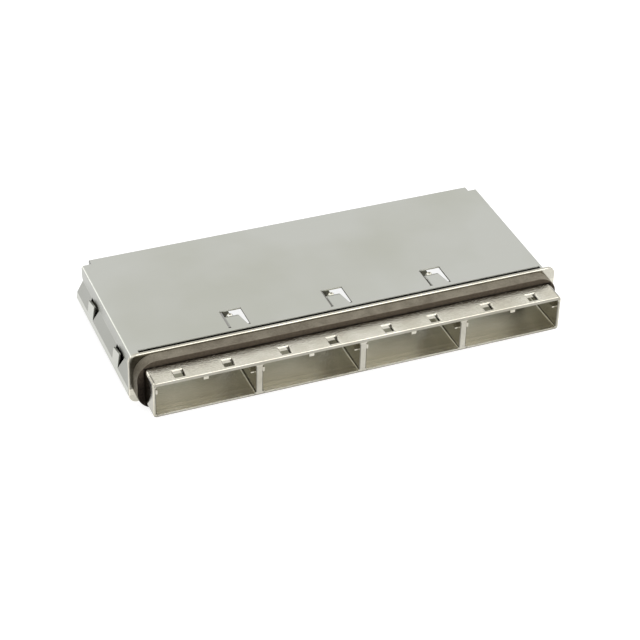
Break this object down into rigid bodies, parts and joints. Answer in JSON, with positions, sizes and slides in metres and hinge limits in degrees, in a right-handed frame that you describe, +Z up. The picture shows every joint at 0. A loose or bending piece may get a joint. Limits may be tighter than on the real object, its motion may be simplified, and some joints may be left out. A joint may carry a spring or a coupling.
{
  "type": "emi connector housing",
  "caption": "Shielded housing for a row of cable ports: cast front with keyed mouths, latch holes and flange, foam gasket ring, and a folded sheet cover open to the board.",
  "frame": {"origin": "under the middle of the bounding box, at the gasket's lowest edge", "axes": "+X along the row of ports, +Y from the ports to the rear flap, +Z up from the board"},
  "size_m": [0.0886, 0.0434, 0.0114],
  "materials": {
    "casting": "satin nickel plate on a zinc casting",
    "foam": "matt conductive foam",
    "sheet": "semi-bright nickel plate on sheet"
  },
  "bodies": {
    "root": {"front_shell": "casting", "gasket": "foam", "cover": "sheet"}
  },
  "joints": []
}
